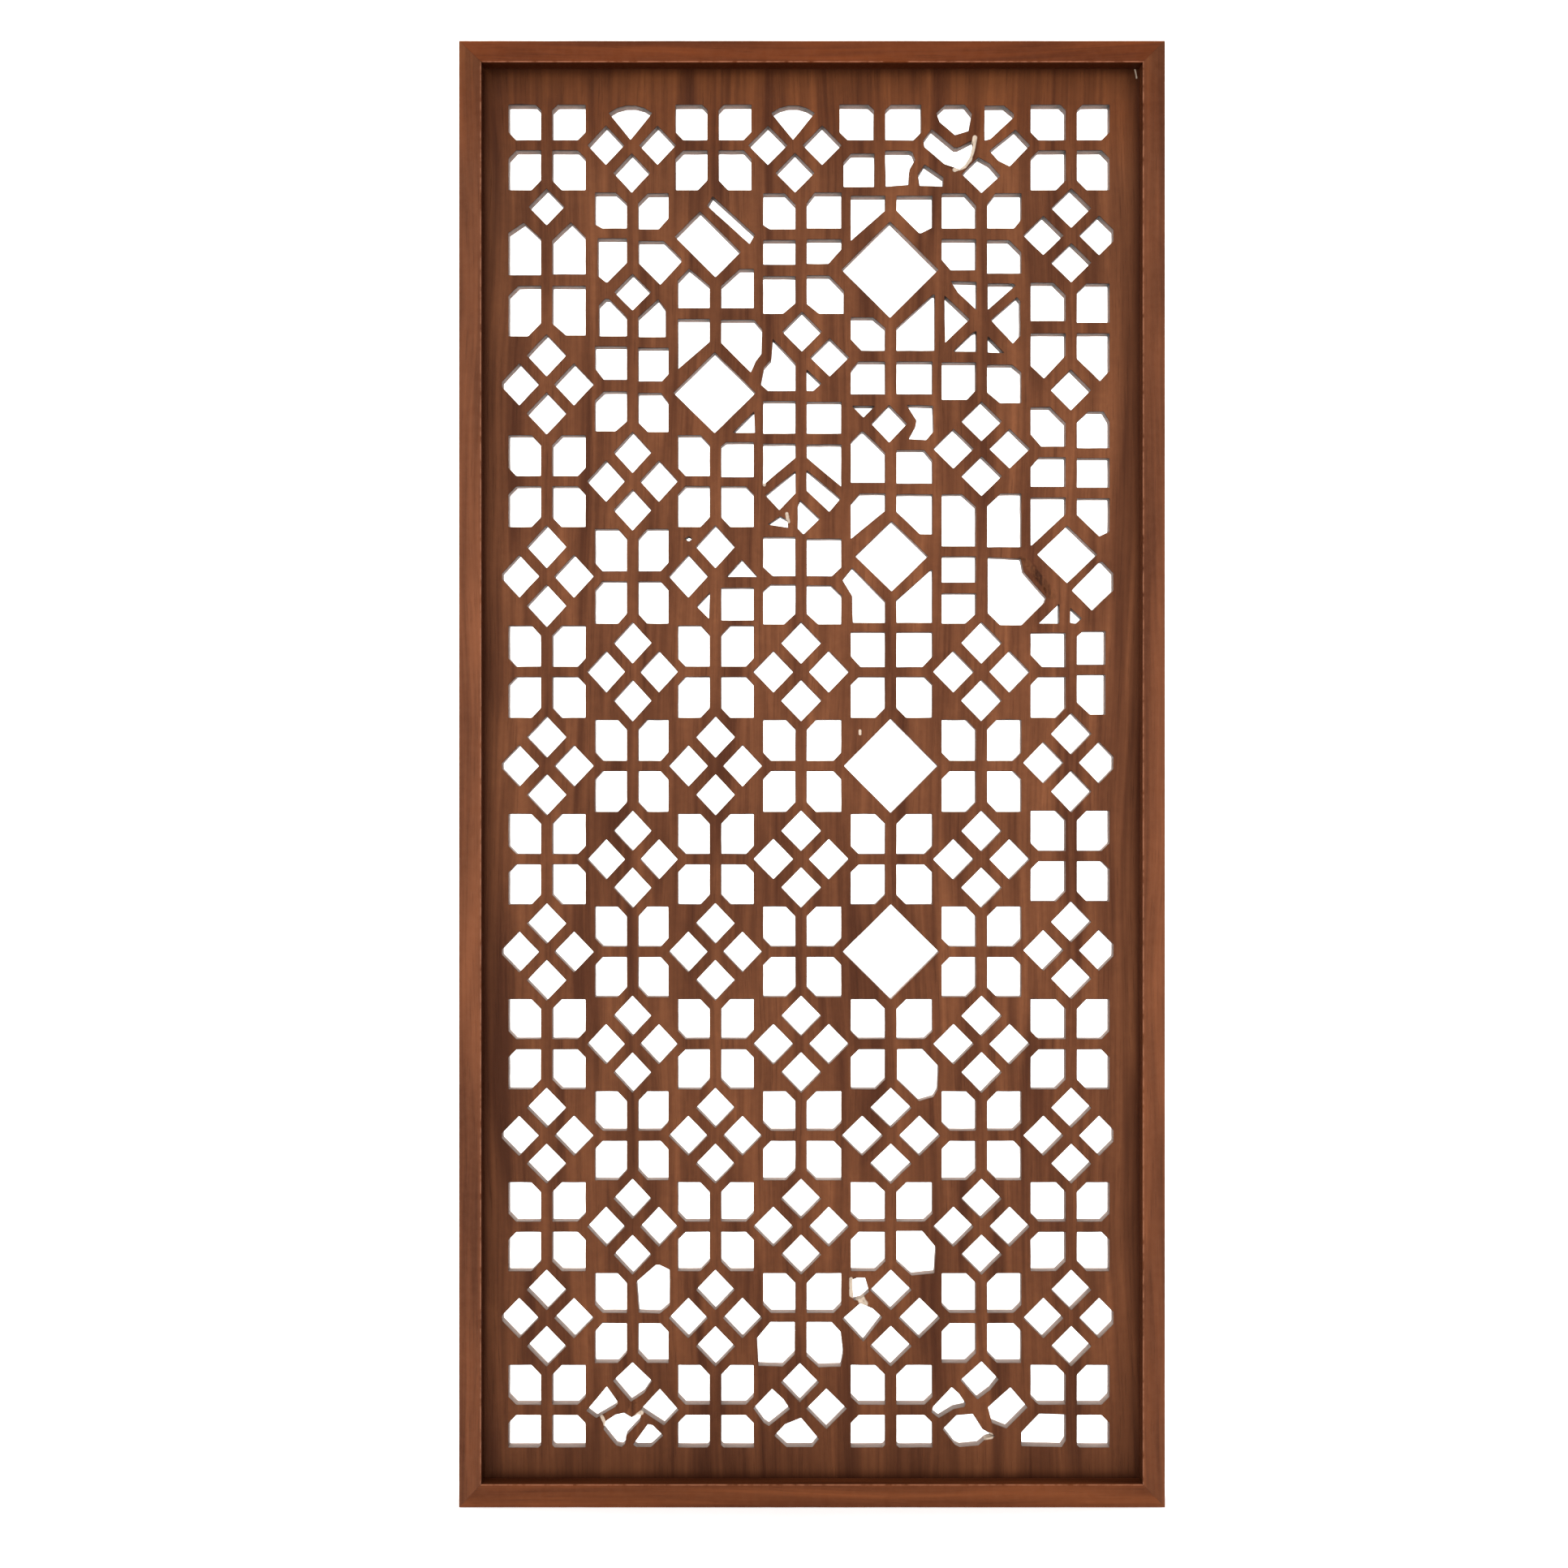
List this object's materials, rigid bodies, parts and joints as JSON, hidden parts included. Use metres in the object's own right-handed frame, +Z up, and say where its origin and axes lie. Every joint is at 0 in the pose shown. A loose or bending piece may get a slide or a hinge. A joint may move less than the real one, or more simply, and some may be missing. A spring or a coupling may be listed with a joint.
{
  "type": "mashrabiya screen",
  "caption": "Tall carved wooden mashrabiya screen: a pierced geometric lattice board held in a mitred frame, made to be fixed in a wall opening.",
  "frame": {"origin": "middle of the flat underside of the bottom rail, where the screen sits on the sill of its opening", "axes": "+Z up, the front faces -Y, +X to the viewer's right"},
  "size_m": [0.871, 0.065, 1.808],
  "materials": {
    "frame_wood": "worn waxed brown hardwood, grain along each member",
    "board_wood": "worn waxed brown hardwood, upright grain, a little raw pale wood at its breaks"
  },
  "bodies": {
    "root": {"left_stile": "frame_wood", "right_stile": "frame_wood", "top_rail": "frame_wood", "bottom_rail": "frame_wood", "pierced_panel": "board_wood"}
  },
  "joints": []
}
